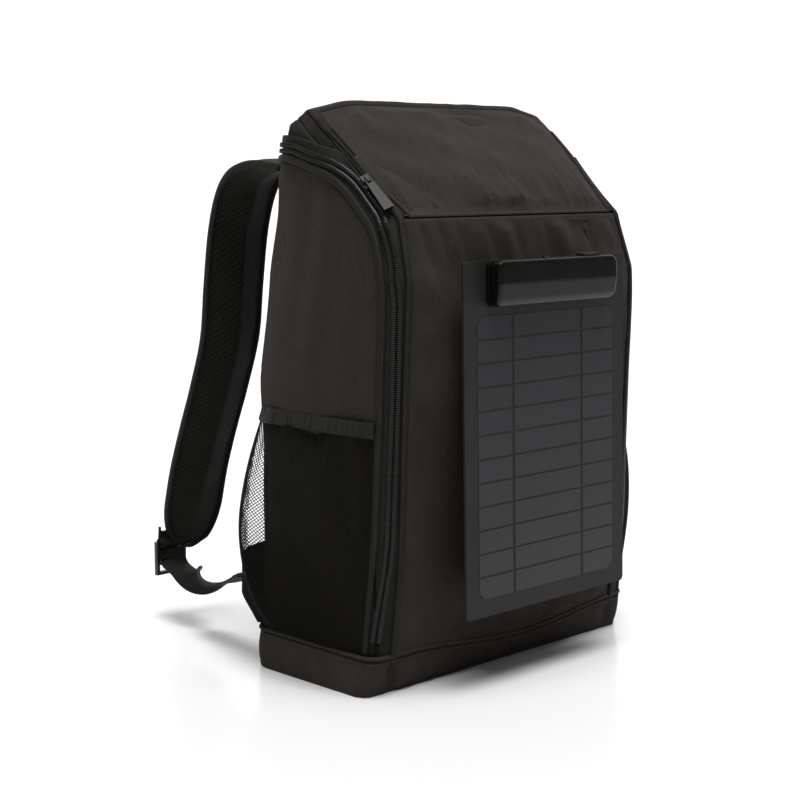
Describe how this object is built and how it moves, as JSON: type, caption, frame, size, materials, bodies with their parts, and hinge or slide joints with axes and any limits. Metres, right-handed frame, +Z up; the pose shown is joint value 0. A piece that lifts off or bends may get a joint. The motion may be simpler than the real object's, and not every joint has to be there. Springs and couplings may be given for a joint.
{
  "type": "solar backpack",
  "caption": "Box-shaped backpack with a clamshell front, slanted zipped hood, side mesh pockets and a detachable solar panel with a power box on the front.",
  "frame": {"origin": "middle of the flat base, on the ground", "axes": "+Z up the bag, -Y out of the front that carries the solar panel, +Y towards the wearer's straps, +X to the viewer's right when facing the front"},
  "size_m": [0.334, 0.3615, 0.4525],
  "materials": {
    "bag_fabric": "fine plain weave polyester, matt",
    "lining_fabric": "thin lining cloth",
    "air_mesh": "spacer mesh with round holes over foam",
    "pocket_net": "diamond netting",
    "webbing": "woven polyester webbing",
    "zip_tape": "ribbed zip tape",
    "zip_teeth": "nylon coil",
    "zip_metal": "glossy black lacquer",
    "stiffener": "polyethylene sheet",
    "panel_laminate": "fine textured film over glass-fibre board",
    "solar_cell": "monocrystalline silicon under textured film",
    "hook_loop": "hook and loop tape",
    "box_plastic": "satin moulded plastic",
    "buckle_plastic": "moulded acetal",
    "circuit_board": "green solder mask",
    "socket_metal": "plated shell",
    "screw_steel": "zinc plated",
    "lens": "smoked lens",
    "cover_rubber": "soft moulded rubber"
  },
  "bodies": {
    "pack_body": {"base_band": "bag_fabric", "base_panel": "lining_fabric", "base_board": "stiffener", "left_side_panel": "bag_fabric", "right_side_panel": "bag_fabric", "back_panel": "bag_fabric", "back_sheet": "stiffener", "left_back_pad": "air_mesh", "right_back_pad": "air_mesh", "lumbar_pad": "air_mesh", "laptop_sleeve": "lining_fabric", "sleeve_binding": "webbing", "main_zip_body_tape": "zip_tape", "main_zip_body_coil": "zip_teeth", "left_mesh_pocket": "pocket_net", "right_mesh_pocket": "pocket_net", "left_pocket_binding": "webbing", "right_pocket_binding": "webbing", "left_lower_anchor": "webbing", "right_lower_anchor": "webbing", "strap_yoke": "bag_fabric"},
    "front": {"front_panel": "bag_fabric", "left_hood_gusset": "bag_fabric", "right_hood_gusset": "bag_fabric", "hood_rear_panel": "bag_fabric", "main_zip_front_tape": "zip_tape", "main_zip_front_coil": "zip_teeth", "hood_zip_gusset_tape": "zip_tape", "hood_zip_coil": "zip_teeth", "top_pocket_lining": "lining_fabric", "loop_patches": "hook_loop", "panel_mount_pad": "bag_fabric"},
    "hood": {"hood_flap": "bag_fabric", "hood_zip_flap_tape": "zip_tape"},
    "hood_slider": {"hood_slider": "zip_metal"},
    "hood_pull": {"hood_pull": "zip_metal"},
    "left_main_slider": {"left_main_slider": "zip_metal"},
    "left_main_pull": {"left_main_pull": "zip_metal"},
    "right_main_slider": {"right_main_slider": "zip_metal"},
    "right_main_pull": {"right_main_pull": "zip_metal"},
    "solar_panel": {"panel_laminate": "panel_laminate", "solar_cells": "solar_cell", "hook_patches": "hook_loop", "box_back_shell": "box_plastic", "box_front_cover": "box_plastic", "box_circuit_board": "circuit_board", "usb_socket": "socket_metal", "led_lens": "lens", "box_screws": "screw_steel"},
    "usb_cover": {"usb_cover": "cover_rubber"},
    "left_strap": {"left_strap_pad": "air_mesh", "left_buckle_loop": "webbing", "left_strap_webbing": "webbing"},
    "left_buckle": {"left_buckle": "buckle_plastic"},
    "right_strap": {"right_strap_pad": "air_mesh", "right_buckle_loop": "webbing", "right_strap_webbing": "webbing"},
    "right_buckle": {"right_buckle": "buckle_plastic"},
    "grab_handle": {"grab_handle": "webbing"}
  },
  "joints": [
    {"name": "front_open", "type": "hinge", "parent": "pack_body", "child": "front", "pos_m": [0, -0.084, 0.03], "axis": [1, 0, 0], "range_deg": [0, 70]},
    {"name": "hood_open", "type": "hinge", "parent": "front", "child": "hood", "pos_m": [0, -0.0955, 0.363], "axis": [1, 0, 0], "range_deg": [0, 140]},
    {"name": "hood_slider_run", "type": "slide", "parent": "hood", "child": "hood_slider", "axis": [0, 0.7413, 0.6712], "range_m": [0, 0.068]},
    {"name": "hood_pull_turn", "type": "hinge", "parent": "hood_slider", "child": "hood_pull", "pos_m": [-0.13809, -0.06399, 0.39152], "axis": [-0.8536, 0.3497, -0.3862], "range_deg": [0, 150]},
    {"name": "left_main_slider_run", "type": "slide", "parent": "pack_body", "child": "left_main_slider", "axis": [-1, 0, 0], "range_m": [0, 0.07]},
    {"name": "left_main_pull_turn", "type": "hinge", "parent": "left_main_slider", "child": "left_main_pull", "pos_m": [-0.0155, 0.03674, 0.41656], "axis": [0, 0.4084, -0.9128], "range_deg": [0, 150]},
    {"name": "right_main_slider_run", "type": "slide", "parent": "pack_body", "child": "right_main_slider", "axis": [1, 0, 0], "range_m": [0, 0.07]},
    {"name": "right_main_pull_turn", "type": "hinge", "parent": "right_main_slider", "child": "right_main_pull", "pos_m": [0.0155, 0.03674, 0.41656], "axis": [0, -0.4084, 0.9128], "range_deg": [0, 150]},
    {"name": "solar_panel_pull_off", "type": "slide", "parent": "front", "child": "solar_panel", "axis": [0, -0.9997, 0.0227], "range_m": [0, 0.06]},
    {"name": "usb_cover_open", "type": "hinge", "parent": "solar_panel", "child": "usb_cover", "pos_m": [0.042, -0.12331, 0.33132], "axis": [-1, 0, 0], "range_deg": [0, 90]},
    {"name": "left_strap_swing", "type": "hinge", "parent": "pack_body", "child": "left_strap", "pos_m": [-0.091, 0.06, 0.4], "axis": [-0.1587, 0.0417, -0.9864], "range_deg": [-18, 18]},
    {"name": "right_strap_swing", "type": "hinge", "parent": "pack_body", "child": "right_strap", "pos_m": [0.091, 0.06, 0.4], "axis": [-0.1587, -0.0417, 0.9864], "range_deg": [-18, 18]},
    {"name": "left_buckle_tilt", "type": "hinge", "parent": "left_strap", "child": "left_buckle", "pos_m": [-0.112, 0.221, 0.068], "axis": [1, 0, 0], "range_deg": [-20, 20]},
    {"name": "right_buckle_tilt", "type": "hinge", "parent": "right_strap", "child": "right_buckle", "pos_m": [0.112, 0.221, 0.068], "axis": [1, 0, 0], "range_deg": [-20, 20]},
    {"name": "handle_swing", "type": "hinge", "parent": "pack_body", "child": "grab_handle", "pos_m": [0, 0.053, 0.394], "axis": [1, 0, 0], "range_deg": [0, 150]}
  ]
}
